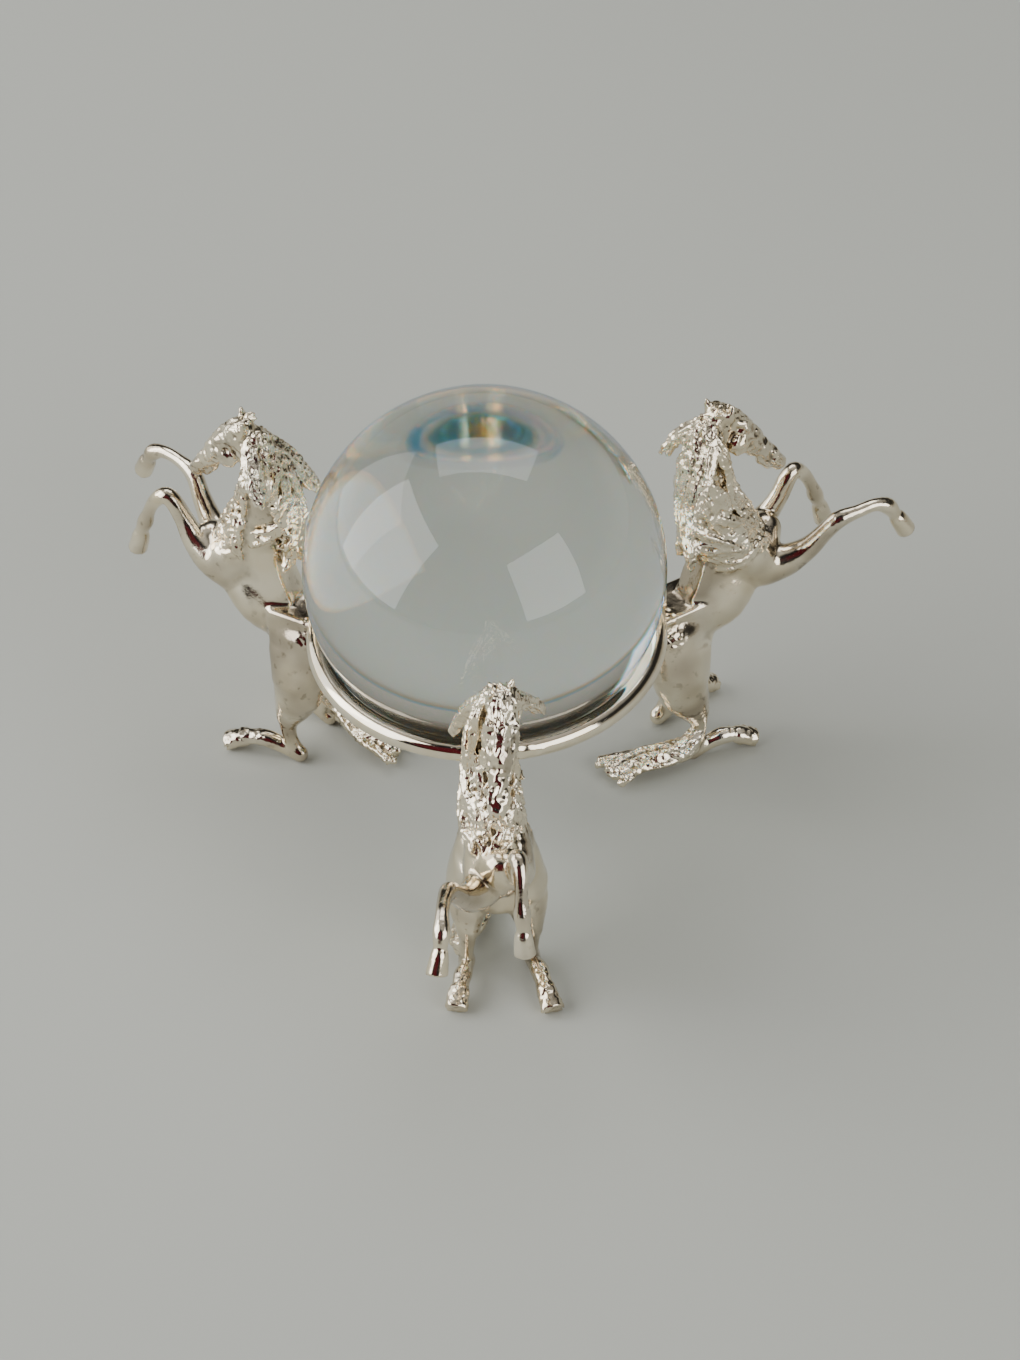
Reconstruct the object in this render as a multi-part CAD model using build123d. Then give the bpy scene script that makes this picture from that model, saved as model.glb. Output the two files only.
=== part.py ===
"""Crystal ball on a silver-plated stand: a round ring carried by three rearing horses.

Every horse is the same casting, drawn once in its own frame: X points outward from
the ball, Y to the horse's left and Z up, then turned about the vertical axis of the ball.
"""

import os

from build123d import *

# --- driving dimensions, millimetres ---
BALL_DIAMETER = 80.0
BALL_CENTRE_HEIGHT = 74.0
RING_ROD_DIAMETER = 5.0
RING_HEIGHT = 54.0
SEAT_GAP = 0.05

HORSE_AZIMUTHS = {"front": 272.9, "right": 30.0, "left": 150.0}

# squared step cut into the rump, with the post that carries the ring standing on it
STEP_HEIGHT = 43.0
STEP_INNER = 40.6
STEP_OUTER = 55.0
STEP_RIGHT = -7.4
STEP_LEFT = 4.4
STEP_DEPTH = 14.0
STEP_CORNER = 2.0

POST_WIDTH = 5.0
POST_INNER = 37.5
POST_OUTER = 44.8
POST_TOP = 56.2
POST_SIDE_SHIFT = -1.4
PART_GAP = 0.03

BACK_CUT_FOOT = (50.4, 43.0)
BACK_CUT_HEAD = (53.8, 53.0)

# Each limb is a row of oval sections: outward, left, up, half width, half depth.
TRUNK = [
    (49.6, -2.0, 22.0, 6.4, 5.0),
    (50.8, -2.0, 29.0, 7.6, 6.6),
    (55.8, -2.4, 35.0, 6.4, 7.0),
    (61.2, -2.6, 41.0, 6.3, 7.6),
    (66.0, -2.6, 46.5, 6.6, 7.4),
    (69.8, -2.4, 50.6, 5.8, 6.0),
    (72.4, -2.2, 53.4, 4.0, 3.8),
]
LOIN = [
    (54.6, -2.4, 37.0, 4.8, 5.8),
    (57.0, -2.5, 45.0, 5.0, 7.6),
    (59.4, -2.5, 53.0, 4.6, 7.0),
]
NECK = [
    (67.0, -2.6, 47.0, 5.6, 6.2),
    (62.4, -2.6, 56.0, 5.4, 7.0),
    (58.4, -2.4, 65.0, 4.9, 6.6),
    (56.4, -2.0, 74.0, 4.4, 5.4),
    (57.8, -1.0, 82.0, 3.8, 4.2),
    (61.2, -0.4, 88.4, 3.0, 3.0),
]
HEAD = [
    (60.0, -0.2, 90.2, 2.4, 2.2),
    (63.8, -0.8, 86.2, 3.0, 3.5),
    (67.2, -1.4, 82.0, 3.1, 3.9),
    (70.2, -2.0, 78.3, 2.5, 2.8),
    (73.0, -2.5, 75.0, 2.2, 2.1),
    (75.4, -2.9, 71.9, 2.3, 2.2),
]
MANE = [
    (59.0, -1.6, 88.6, 2.2, 2.4),
    (53.6, -2.6, 80.6, 2.6, 3.4),
    (50.6, -3.2, 71.6, 2.9, 3.2),
    (51.4, -3.2, 62.0, 2.6, 3.0),
    (53.2, -2.6, 54.8, 1.6, 1.8),
]
RIGHT_LOCK = [
    (57.4, -3.2, 86.4, 2.2, 2.6),
    (53.0, -5.8, 81.0, 1.9, 3.0),
    (49.8, -8.2, 75.4, 1.5, 2.6),
    (47.6, -10.2, 70.8, 0.7, 1.2),
]
LEFT_LOCK = [
    (58.0, 0.8, 87.2, 2.2, 2.4),
    (55.8, 3.4, 84.6, 1.9, 2.6),
    (54.0, 6.0, 82.0, 1.5, 2.2),
    (52.8, 8.0, 79.6, 0.7, 1.0),
]
RIGHT_FORELEG = [
    (69.4, -5.2, 44.9, 3.8, 4.4),
    (73.2, -7.4, 46.8, 3.5, 4.0),
    (77.2, -9.8, 49.2, 2.8, 3.0),
    (80.8, -11.9, 53.6, 2.1, 2.2),
    (84.4, -14.0, 58.8, 1.7, 1.7),
    (88.8, -15.3, 59.9, 1.4, 1.5),
    (93.4, -15.9, 60.2, 1.4, 1.5),
    (96.6, -16.4, 58.0, 1.4, 1.4),
    (99.4, -17.2, 54.2, 1.6, 1.6),
    (100.9, -17.8, 51.2, 2.0, 1.9),
]
LEFT_FORELEG = [
    (68.0, 1.0, 47.6, 3.6, 4.4),
    (73.2, 1.6, 51.6, 3.0, 3.6),
    (77.2, 0.6, 56.6, 2.2, 2.4),
    (79.8, 0.4, 61.6, 1.8, 1.9),
    (82.2, 0.9, 64.2, 1.6, 1.7),
    (85.4, 1.0, 61.2, 1.4, 1.5),
    (87.8, 0.9, 56.2, 1.3, 1.4),
    (89.3, 0.9, 51.2, 1.3, 1.4),
    (90.4, 1.0, 47.8, 1.6, 1.6),
    (91.2, 1.1, 45.2, 2.0, 1.9),
]
RIGHT_THIGH = [
    (46.6, -6.0, 36.0, 4.4, 6.4),
    (45.8, -7.2, 27.0, 5.4, 6.6),
    (46.8, -8.2, 20.4, 4.8, 5.6),
    (49.6, -8.9, 13.6, 2.6, 3.0),
    (50.3, -9.2, 8.0, 1.7, 1.8),
    (49.2, -9.4, 2.8, 1.6, 1.8),
]
LEFT_THIGH = [
    (47.6, 2.0, 36.0, 4.4, 6.4),
    (47.4, 3.2, 27.0, 5.2, 6.6),
    (48.2, 4.2, 20.0, 4.6, 5.4),
    (50.4, 4.8, 13.0, 2.6, 2.8),
    (50.8, 5.0, 7.6, 1.7, 1.8),
    (49.0, 5.0, 2.6, 1.6, 1.8),
]
RIGHT_FOOT = [
    (48.4, -9.3, 1.6, 1.7, 1.8),
    (52.8, -10.0, 3.4, 1.7, 1.8),
    (56.8, -11.0, 4.2, 1.7, 1.7),
    (60.2, -12.0, 3.6, 1.8, 1.8),
    (63.4, -12.8, 1.7, 2.1, 1.9),
]
LEFT_FOOT = [
    (48.2, 5.0, 1.6, 1.7, 1.8),
    (52.6, 5.5, 3.0, 1.7, 1.9),
    (56.8, 6.4, 4.2, 1.7, 1.8),
    (61.4, 7.4, 4.2, 1.7, 1.8),
    (66.0, 8.3, 1.7, 2.1, 1.9),
]
TAIL = [
    (49.6, -9.6, 6.4, 1.4, 1.6),
    (46.2, -10.2, 4.0, 2.6, 2.8),
    (41.0, -8.6, 3.0, 3.2, 3.4),
    (35.6, -6.6, 2.8, 3.4, 3.6),
    (30.0, -5.6, 2.6, 3.2, 3.4),
    (26.6, -5.8, 2.2, 2.4, 2.4),
]
RIGHT_EAR = [
    (61.6, -2.4, 89.4, 1.1, 1.0),
    (62.2, -2.9, 91.4, 0.9, 0.7),
    (62.6, -3.2, 93.6, 0.25, 0.25),
]
LEFT_EAR = [
    (59.6, 1.0, 89.6, 1.1, 1.0),
    (59.4, 1.5, 91.6, 0.9, 0.7),
    (59.2, 1.9, 93.8, 0.25, 0.25),
]

HAUNCHES = [RIGHT_THIGH, LEFT_THIGH]
FREE_LIMBS = [
    NECK,
    MANE,
    HEAD,
    RIGHT_LOCK,
    LEFT_LOCK,
    RIGHT_FORELEG,
    LEFT_FORELEG,
    RIGHT_EAR,
    LEFT_EAR,
]
STANDING_LIMBS = [RIGHT_FOOT, LEFT_FOOT, TAIL]


def section_plane(limb, index):
    """Plane through one section, square to the row of section centres there."""
    before = Vector(*limb[max(index - 1, 0)][:3])
    after = Vector(*limb[min(index + 1, len(limb) - 1)][:3])
    along = (after - before).normalized()
    sideways = Vector(0, 1, 0) - along * along.Y
    return Plane(origin=limb[index][:3], x_dir=sideways.normalized(), z_dir=along)


def halfway_section(limb, index):
    """Oval midway between two sections, on the smooth curve through their neighbours."""
    start, end = limb[index], limb[index + 1]
    before = limb[index - 1] if index > 0 else start
    after = limb[index + 2] if index + 2 < len(limb) else end
    return tuple(
        (9 * (near + far) - (outer_near + outer_far)) / 16
        for near, far, outer_near, outer_far in zip(start, end, before, after)
    )


def limb_solid(limb):
    """Smooth loft through the oval sections of one limb."""
    sections = []
    for index in range(len(limb) - 1):
        sections.append(limb[index])
        sections.append(halfway_section(limb, index))
    sections.append(limb[-1])
    faces = [
        section_plane(sections, index) * Ellipse(section[3], section[4])
        for index, section in enumerate(sections)
    ]
    return loft(faces)


def standing_limb(limb):
    """Limb that rests on the table: its underside is planed flat at the table plane."""
    below_table = Pos(60, 0, -10) * Box(160, 80, 20)
    return limb_solid(limb) - below_table


def rump_block():
    """Squared block on the rump whose top is the step under the ring."""
    length = STEP_OUTER - STEP_INNER
    width = STEP_LEFT - STEP_RIGHT
    block = Box(length, width, STEP_DEPTH)
    block = fillet(block.edges().filter_by(Axis.Z), STEP_CORNER)
    centre_x = (STEP_OUTER + STEP_INNER) / 2
    centre_y = (STEP_LEFT + STEP_RIGHT) / 2
    return Pos(centre_x, centre_y, STEP_HEIGHT - STEP_DEPTH / 2) * block


def back_cutter():
    """Wedge that flattens the back above the step and keeps it clear of the ball."""
    foot = BACK_CUT_FOOT
    head = BACK_CUT_HEAD
    outline = Polyline(
        (foot[0] - 20, 0, foot[1]),
        (foot[0], 0, foot[1]),
        (head[0], 0, head[1]),
        (head[0] - 3, 0, head[1] + 1),
        (head[0] - 23, 0, head[1] + 1),
        close=True,
    )
    return extrude(make_face(outline), amount=20, dir=(0, 1, 0), both=True)


def horse():
    """One rearing horse in its own frame, standing on its hocks, hooves and tail."""
    body = limb_solid(TRUNK)
    for limb in HAUNCHES:
        body += limb_solid(limb)
    body += limb_solid(LOIN)
    body += rump_block()
    body -= back_cutter()
    for limb in FREE_LIMBS:
        body += limb_solid(limb)
    for limb in STANDING_LIMBS:
        body += standing_limb(limb)
    return body


def ring_radius():
    """Radius of the rod's centre line: the rod touches the ball all the way round."""
    reach = (BALL_DIAMETER + RING_ROD_DIAMETER) / 2 + SEAT_GAP
    drop = BALL_CENTRE_HEIGHT - RING_HEIGHT
    return (reach**2 - drop**2) ** 0.5


def crystal_ball():
    """Solid glass ball resting in the ring."""
    return Pos(0, 0, BALL_CENTRE_HEIGHT) * Sphere(BALL_DIAMETER / 2)


def ring():
    """Round rod bent into a closed circle."""
    return Pos(0, 0, RING_HEIGHT) * Torus(ring_radius(), RING_ROD_DIAMETER / 2)


def ring_post():
    """Square post on the rump step, hollowed on its inner side to hold the ring."""
    length = POST_OUTER - POST_INNER
    height = POST_TOP - STEP_HEIGHT - PART_GAP
    block = Box(length, POST_WIDTH, height, align=(Align.MIN, Align.CENTER, Align.MIN))
    post = Pos(POST_INNER, POST_SIDE_SHIFT, STEP_HEIGHT + PART_GAP) * block
    groove_radius = RING_ROD_DIAMETER / 2 + PART_GAP
    groove = Pos(0, 0, RING_HEIGHT) * Torus(ring_radius(), groove_radius)
    clearance = Pos(0, 0, BALL_CENTRE_HEIGHT) * Sphere(BALL_DIAMETER / 2 + 0.5)
    return post - groove - clearance


def main():
    os.makedirs("parts", exist_ok=True)
    export_step(crystal_ball(), "parts/crystal_ball.step")
    export_step(ring(), "parts/ring.step")
    casting = horse()
    post = ring_post()
    for side, azimuth in HORSE_AZIMUTHS.items():
        turn = Rot(0, 0, azimuth)
        export_step(turn * casting, f"parts/horse_{side}.step")
        export_step(turn * post, f"parts/ring_post_{side}.step")


if __name__ == "__main__":
    main()
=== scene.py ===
import math

import bpy
import numpy as np
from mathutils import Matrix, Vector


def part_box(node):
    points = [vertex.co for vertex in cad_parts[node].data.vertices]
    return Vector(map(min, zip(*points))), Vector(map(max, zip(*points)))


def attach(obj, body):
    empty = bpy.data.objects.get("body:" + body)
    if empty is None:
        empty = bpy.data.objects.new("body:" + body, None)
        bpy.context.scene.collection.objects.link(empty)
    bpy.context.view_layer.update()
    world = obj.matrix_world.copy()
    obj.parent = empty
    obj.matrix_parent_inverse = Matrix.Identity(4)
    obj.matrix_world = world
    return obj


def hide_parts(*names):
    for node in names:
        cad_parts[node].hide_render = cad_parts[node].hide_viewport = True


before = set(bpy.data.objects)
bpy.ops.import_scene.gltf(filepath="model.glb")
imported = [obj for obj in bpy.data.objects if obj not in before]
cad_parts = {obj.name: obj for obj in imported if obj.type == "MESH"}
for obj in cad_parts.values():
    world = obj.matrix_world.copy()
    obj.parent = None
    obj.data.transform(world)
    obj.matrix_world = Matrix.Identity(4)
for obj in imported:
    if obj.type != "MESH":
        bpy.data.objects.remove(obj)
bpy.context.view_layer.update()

import openvdb
from mathutils import Matrix, Vector

mm = 0.001


class Wire:
    # one socket of a material; sums and products on it add Math nodes
    def __init__(self, finish, socket):
        self.finish = finish
        self.socket = socket

    def maths(self, operation, *terms):
        return self.finish.node("ShaderNodeMath", {"operation": operation}, dict(enumerate(terms)))

    def __add__(self, other):
        return self.maths("ADD", self, other)

    def __radd__(self, other):
        return self.maths("ADD", other, self)

    def __sub__(self, other):
        return self.maths("SUBTRACT", self, other)

    def __rsub__(self, other):
        return self.maths("SUBTRACT", other, self)

    def __mul__(self, other):
        return self.maths("MULTIPLY", self, other)

    def __rmul__(self, other):
        return self.maths("MULTIPLY", other, self)

    def clamped(self, low, high):
        return self.maths("MINIMUM", self.maths("MAXIMUM", self, low), high)

    def spread(self, gain, drop, top=1):
        # stretched by gain, lowered by drop, and kept between 0 and top
        return (self * gain - drop).clamped(0, top)


class Finish:
    # a material or world whose nodes are added one call at a time
    def __init__(self, block):
        block.use_nodes = True
        self.block = block
        self.tree = block.node_tree
        self.tree.nodes.clear()

    def node(self, kind, settings=None, inputs=None, output=0):
        made = self.tree.nodes.new(kind)
        for name, value in (settings or {}).items():
            if name == "stops":
                self.setStops(made.color_ramp, value)
            else:
                setattr(made, name, value)
        for key, value in (inputs or {}).items():
            if isinstance(value, Wire):
                self.tree.links.new(value.socket, made.inputs[key])
            else:
                made.inputs[key].default_value = value
        return Wire(self, made.outputs[output]) if len(made.outputs) else made

    def setStops(self, ramp, stops):
        while len(ramp.elements) < len(stops):
            ramp.elements.new(0.5)
        for element, (place, colour) in zip(ramp.elements, stops):
            element.position = place
            element.color = (*colour, 1)

    def place(self):
        # where a point lies in the object's own frame
        return self.node("ShaderNodeTexCoord", output=3)

    def noise(self, where, scale, detail, roughness):
        return self.node("ShaderNodeTexNoise", {},
                         {"Vector": where, "Scale": scale, "Detail": detail, "Roughness": roughness})

    def blend(self, share, first, second):
        return self.node("ShaderNodeMix", {"data_type": "RGBA"}, {0: share, 6: first, 7: second}, output=2)

    def bump(self, height, distance, strength):
        return self.node("ShaderNodeBump", {}, {"Height": height, "Distance": distance, "Strength": strength})

    def principled(self, inputs):
        shader = self.node("ShaderNodeBsdfPrincipled", {}, inputs)
        self.node("ShaderNodeOutputMaterial", {}, {"Surface": shader})
        return self.block


def newFinish(name):
    return Finish(bpy.data.materials.new(name))


def meshPiece(name, points, faces, material, body, replaced):
    # a finished piece whose place is in its mesh, riding on its body
    mesh = bpy.data.meshes.new(name)
    mesh.from_pydata(points, [], faces)
    mesh.update()
    mesh.shade_smooth()
    piece = bpy.data.objects.new(name, mesh)
    bpy.context.scene.collection.objects.link(piece)
    mesh.materials.append(material)
    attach(piece, body)
    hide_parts(replaced)
    return piece


def gridFaces(rows, columns):
    # quads between each row and the next; the columns wrap round
    row, column = np.meshgrid(np.arange(rows - 1), np.arange(columns), indexing="ij")
    after = (column + 1) % columns
    quads = np.stack([row * columns + column, row * columns + after,
                      (row + 1) * columns + after, (row + 1) * columns + column], -1)
    return quads.reshape(-1, 4)


# silver plate on cast horses; a spread is the gain, drop and top given to Wire.spread
plate = {
    "silver": (0.97, 0.895, 0.745, 1),
    "champagne": (0.84, 0.715, 0.50, 1),
    # painted shade: the dark brown laid in patches over the skin in place of dark reflections
    "paintedShadeTint": (0.40, 0.335, 0.255, 1),
    "pitTint": (0.20, 0.16, 0.115, 1),
    # painted shade for the hollows: the colour the creases and recesses are darkened to
    "paintedHollowShade": (0.16, 0.12, 0.075, 1),
    "tintSpread": (1.6, 0.35),
    "paintedShadeSpread": (3.2, 1.344, 0.75),
    "pitSpread": (9, 5.4, 0.65),
    "pitZoneSpread": (5, 2.0),
    "hollowShadeSpread": (1.25, 0.14, 0.94),
    "grainScale": 1500,
    "pitScale": 420,
    "waveScale": 90,
    "shadeScale": 75,
    "roughness": 0.10,
    "pitRoughness": 0.10,
    "hairRoughness": 0.02,
    "hollowRoughness": 0.12,
    "roughnessLimits": (0.05, 0.6),
    "waveRelief": 0.9,
    "pitRelief": (0.9, 0.22),
    "grainRelief": (0.25, 0.07),
    "bump": (0.00055, 0.55),
}


def platedCastingFinish():
    # bright waves of tint, with painted shade in the hollows and in patches over the skin; the hair is more
    # pitted and less wavy than the skin
    finish = newFinish("platedCasting")
    where = finish.place()
    grain = finish.noise(where, plate["grainScale"], 2, 0.6)
    pits = finish.noise(where, plate["pitScale"], 3, 0.55)
    waves = finish.noise(where, plate["waveScale"], 2, 0.5)
    # the shade noise places patches of painted shade, standing in for dark reflections on the skin
    shade = finish.noise(where, plate["shadeScale"], 2, 0.5)
    hair = finish.node("ShaderNodeAttribute", {"attribute_name": "hair"}, output=2)
    hollow = finish.node("ShaderNodeAttribute", {"attribute_name": "hollow"}, output=2)
    tint = finish.blend(waves.spread(*plate["tintSpread"]), plate["silver"], plate["champagne"])
    # painted shade in large patches over the skin, none on the hair
    shaded = finish.blend(shade.spread(*plate["paintedShadeSpread"]) * (1 - hair), tint, plate["paintedShadeTint"])
    pitShare = pits.spread(*plate["pitSpread"]) * shade.spread(*plate["pitZoneSpread"])
    pitted = finish.blend(pitShare, shaded, plate["pitTint"])
    # painted shade: the colour darkens where the hollow mask says the surface lies in a crease or recess
    colour = finish.blend(hollow.spread(*plate["hollowShadeSpread"]), pitted, plate["paintedHollowShade"])
    roughness = (pits * plate["pitRoughness"] + hair * plate["hairRoughness"]
                 + hollow * plate["hollowRoughness"] + plate["roughness"])
    relief = (waves * (1 - hair) * plate["waveRelief"]
              + pits * (hair * plate["pitRelief"][0] + plate["pitRelief"][1])
              + grain * (hair * plate["grainRelief"][0] + plate["grainRelief"][1]))
    return finish.principled({"Base Color": colour, "Metallic": 1.0,
                              "Roughness": roughness.clamped(*plate["roughnessLimits"]),
                              "Normal": finish.bump(relief, *plate["bump"])})


# the same plate on drawn rod, smoother than the castings
platedRod = {
    "drawnScale": 260,
    "pitScale": 900,
    "tintSpread": (1.4, 0.3),
    "roughness": 0.055,
    "pitRoughness": 0.09,
    "roughnessLimits": (0.04, 0.5),
    "drawnRelief": 0.35,
    "pitRelief": 0.08,
    "bump": (0.00035, 0.35),
}


def platedRodFinish():
    finish = newFinish("platedRod")
    where = finish.place()
    drawn = finish.noise(where, platedRod["drawnScale"], 3, 0.5)
    pits = finish.noise(where, platedRod["pitScale"], 2, 0.6)
    tint = finish.blend(drawn.spread(*platedRod["tintSpread"]), plate["silver"], plate["champagne"])
    roughness = pits * platedRod["pitRoughness"] + platedRod["roughness"]
    relief = drawn * platedRod["drawnRelief"] + pits * platedRod["pitRelief"]
    return finish.principled({"Base Color": tint, "Metallic": 1.0,
                              "Roughness": roughness.clamped(*platedRod["roughnessLimits"]),
                              "Normal": finish.bump(relief, *platedRod["bump"])})


# clear crystal, in two lights: warm and cool
crystal = {
    "tints": ((0.80, 0.48, 0.16, 1), (0.075, 0.42, 0.725, 1)),
    "bends": (1.494, 1.520),
    "mirrorBend": 1.507,
    "smearScale": 45,
    "speckScale": 700,
    "smearRoughness": 0.012,
    "speckRoughness": 0.004,
    "polish": 0.007,
    "roughnessTop": 0.02,
}


def crystalFinish():
    # warm light bends a little less than cool light, as in real crystal
    finish = newFinish("crystal")
    where = finish.place()
    smears = finish.noise(where, crystal["smearScale"], 4, 0.6)
    specks = finish.noise(where, crystal["speckScale"], 2, 0.5)
    roughness = (smears * crystal["smearRoughness"] + specks * crystal["speckRoughness"]
                 - crystal["polish"]).clamped(0, crystal["roughnessTop"])
    warm, cool = (finish.node("ShaderNodeBsdfRefraction", {},
                              {"Color": tint, "IOR": bend, "Roughness": roughness})
                  for tint, bend in zip(crystal["tints"], crystal["bends"]))
    clear = finish.node("ShaderNodeAddShader", {}, {0: warm, 1: cool})
    shine = finish.node("ShaderNodeBsdfAnisotropic", {}, {"Color": (1, 1, 1, 1), "Roughness": roughness})
    mirrored = finish.node("ShaderNodeFresnel", {}, {"IOR": crystal["mirrorBend"]})
    whole = finish.node("ShaderNodeMixShader", {}, {0: mirrored, 1: clear, 2: shine})
    finish.node("ShaderNodeOutputMaterial", {}, {"Surface": whole})
    return finish.block


castingFinish = platedCastingFinish()
rodFinish = platedRodFinish()
ballFinish = crystalFinish()
print("finishes")

# Each row is one oval section in the horse's own frame, in millimetres:
# outward, to the horse's left, up, half width, half depth.
horseRows = {
    "trunk": [(49.2, -2, 22, 6.2, 4.4), (49.8, -2, 28.4, 7.4, 5), (54, -2.4, 35, 4.9, 5.6),
              (59.4, -2.6, 40.6, 7.5, 7), (64.6, -2.6, 46.2, 6, 6.9), (69.4, -2.4, 50.4, 5.6, 5.8),
              (72.4, -2.2, 53.4, 4, 3.8)],
    "loin": [(54.6, -2.4, 37, 4.2, 5.6), (57, -2.5, 45, 5, 7.6), (59.4, -2.5, 53, 4.6, 7)],
    "rightShoulder": [(62.4, -6, 56, 2, 3.2), (65.4, -6.6, 51.4, 3.2, 5), (69.6, -6.6, 47.4, 3.4, 4)],
    "leftShoulder": [(62.4, 0.8, 57, 2, 3.2), (65.4, 1.6, 52.4, 3.2, 5), (69, 1.4, 48.8, 3.4, 4)],
    "rightHaunch": [(48.2, -8.2, 32, 3.2, 5.8), (47, -8.6, 25.5, 4.4, 6)],
    "leftHaunch": [(49, 4, 32, 3.2, 5.8), (48, 4.6, 25.5, 4.4, 6)],
    "neck": [(67, -2.6, 47, 5.6, 6.2), (62.4, -2.6, 56, 5.4, 7), (58.4, -2.4, 65, 4.9, 6.6),
             (56.4, -2, 74, 4.4, 5.4), (57.8, -1, 82, 3.8, 4.2), (61.2, -0.4, 88.4, 3, 3)],
    "head": [(60, -0.2, 90.2, 2.4, 2.2), (63.8, -0.8, 86.2, 2.7, 3.3), (67.2, -1.4, 82, 2.5, 3.5),
             (70.2, -2, 78.3, 2.1, 2.5), (73, -2.5, 75, 1.9, 2), (75.2, -2.9, 72.2, 2.0, 1.9)],
    "mane": [(59, -1.6, 88.6, 2, 2.2), (53.8, -2.6, 80.6, 2.3, 3), (50.9, -3.2, 71.6, 2.5, 2.9),
             (51.6, -3.2, 62, 2.3, 2.7), (53.2, -2.6, 54.8, 1.5, 1.7)],
    "rightLock": [(57.4, -3.2, 86.4, 2, 2.4), (53, -5.8, 81, 1.7, 2.7), (49.8, -8.2, 75.4, 1.4, 2.3),
                  (47.6, -10.2, 70.8, 0.7, 1)],
    "leftLock": [(58, 0.8, 87.2, 2, 2.2), (55.8, 3.4, 84.6, 1.7, 2.4), (54, 6, 82, 1.3, 2),
                 (52.8, 8, 79.6, 0.7, 0.9)],
    "rightForeleg": [(67.2, -4.9, 46.6, 4.2, 5.4), (70.6, -6.2, 46.2, 4.2, 5), (74.6, -8.4, 47.6, 3.5, 3.9),
                     (78.2, -10.4, 50.2, 2.7, 2.8), (81.4, -12.2, 54.4, 2.1, 2.2),
                     (84.4, -14, 58.6, 2, 2.05), (88.8, -15.3, 60, 1.5, 1.55),
                     (93.2, -15.9, 60.4, 1.5, 1.55), (96.4, -16.3, 58.9, 1.9, 1.95),
                     (98.2, -16.8, 55.9, 1.5, 1.5), (99.0, -17.1, 54.4, 2, 2.1),
                     (100.8, -17.8, 50.9, 2.4, 2.3)],
    "leftForeleg": [(66.6, 0.6, 48, 4, 5), (71, 1.5, 50.2, 3.5, 4.2), (75.2, 1.1, 54, 2.6, 3),
                    (78, 0.5, 58.4, 2.15, 2.3), (80.4, 0.5, 62.6, 2, 2.1), (82.6, 0.9, 63.8, 1.9, 1.95),
                    (85.4, 1, 60.9, 1.5, 1.6), (87.3, 0.9, 57, 1.45, 1.5), (88.4, 0.9, 54, 1.85, 1.9),
                    (89.5, 1, 51, 1.5, 1.5), (90.0, 1, 49, 2, 2.05), (91.1, 1.1, 45.1, 2.35, 2.25)],
    "rightThigh": [(46.6, -6, 36, 4.4, 6.4), (45.8, -7.2, 27, 5.4, 6.6), (46.8, -8.2, 20.4, 4.8, 5.6),
                   (49.6, -8.9, 13.6, 2.6, 3), (50.3, -9.2, 8, 1.6, 1.8), (49.2, -9.4, 2.8, 1.6, 1.9)],
    "leftThigh": [(47.6, 2, 36, 4.4, 6.4), (47.4, 3.2, 27, 5.2, 6.6), (48.2, 4.2, 20, 4.6, 5.4),
                  (50.4, 4.8, 13, 2.6, 2.8), (50.8, 5, 7.6, 1.6, 1.8), (49, 5, 2.6, 1.6, 1.9)],
    "rightFoot": [(48.4, -9.3, 1.9, 1.9, 2.1), (52.4, -9.9, 3.2, 1.7, 1.8), (55.8, -10.7, 4.2, 2.1, 2.1),
                  (58.6, -11.5, 3.9, 1.8, 1.8), (60, -11.9, 3.3, 2.3, 2.2), (63.4, -12.8, 1.7, 2.6, 2.2)],
    "leftFoot": [(48.2, 5, 1.9, 1.9, 2.1), (52.2, 5.4, 3.1, 1.7, 1.9), (56.2, 6.2, 4.5, 2.1, 2.1),
                 (60, 7, 4.2, 1.8, 1.8), (61.8, 7.4, 3.5, 2.3, 2.2), (65.7, 8.3, 1.7, 2.6, 2.2)],
    "tail": [(49.8, -9.6, 6.6, 1.7, 2.2), (46.2, -10.2, 4.9, 2.7, 3.6), (41, -8.6, 3.9, 3.1, 3.6),
             (35.6, -6.6, 3.3, 3.3, 3.3), (29.4, -5.6, 2.4, 3, 2.4)],
    "rightEar": [(61.4, -2.2, 88.8, 1.5, 1.2), (62.2, -2.9, 91, 1.3, 0.9), (62.7, -3.3, 93.4, 0.4, 0.4)],
    "leftEar": [(59.8, 0.8, 89, 1.5, 1.2), (59.5, 1.5, 91.2, 1.3, 0.9), (59.2, 2.0, 93.6, 0.4, 0.4)],
}
# the casting's grid, its step and its cuts in the same millimetres, and the azimuths in degrees
horse = {
    "azimuths": {"horse_front": 272.9, "horse_right": 30.0, "horse_left": 150.0},
    "cell": 0.34,
    "low": (23.0, -22.5, -1.2),
    "high": (106.0, 15.5, 98.0),
    "stepLow": (40.6, -7.4, 29.0),
    "stepHigh": (55.0, 4.4, 43.0),
    "stepCorner": 0.9,
    "stepBlend": 1.6,
    "backCut": ((50.4, 43.0), (53.8, 53.0)),
    "hairBlend": 0.5,
    "hairFillet": 0.24,
    "floorGap": 0.02,
    "seed": 7,
}
# unevenness left by casting and soldering: pitch in millimetres, seed, depth in millimetres
castMarks = {
    "hair": (1.8, 3, 0.27),
    "body": (9.0, 5, 0.10),
    "face": (2.6, 8, 0.42),
    "solder": (1.9, 12, 0.30),
}
# where those marks are, each with the place where it starts and how far it takes to reach its full
# depth, outward or up in millimetres
markZones = {
    "faceUp": (70, 6),
    "faceOut": (58, 3),
    "faceEnd": 78,
    "solderIn": (47, -2),
    "solderUp": (35, 2),
    "solderDown": (44.5, -1.5),
    "hoofOut": (56, 2),
    "hoofDown": (8, -2),
    "hoofDepth": 0.26,
}
fullTurn = 6.28     # radians, the range of a random start
farOff = 6.0        # millimetres, the distance kept where nothing is near
spare = 1.2         # millimetres of grid kept round each shape
thinnest = 0.2      # millimetres, the least half width on a smoothed path
tiny = 1e-6         # keeps divisions away from nought


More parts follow.
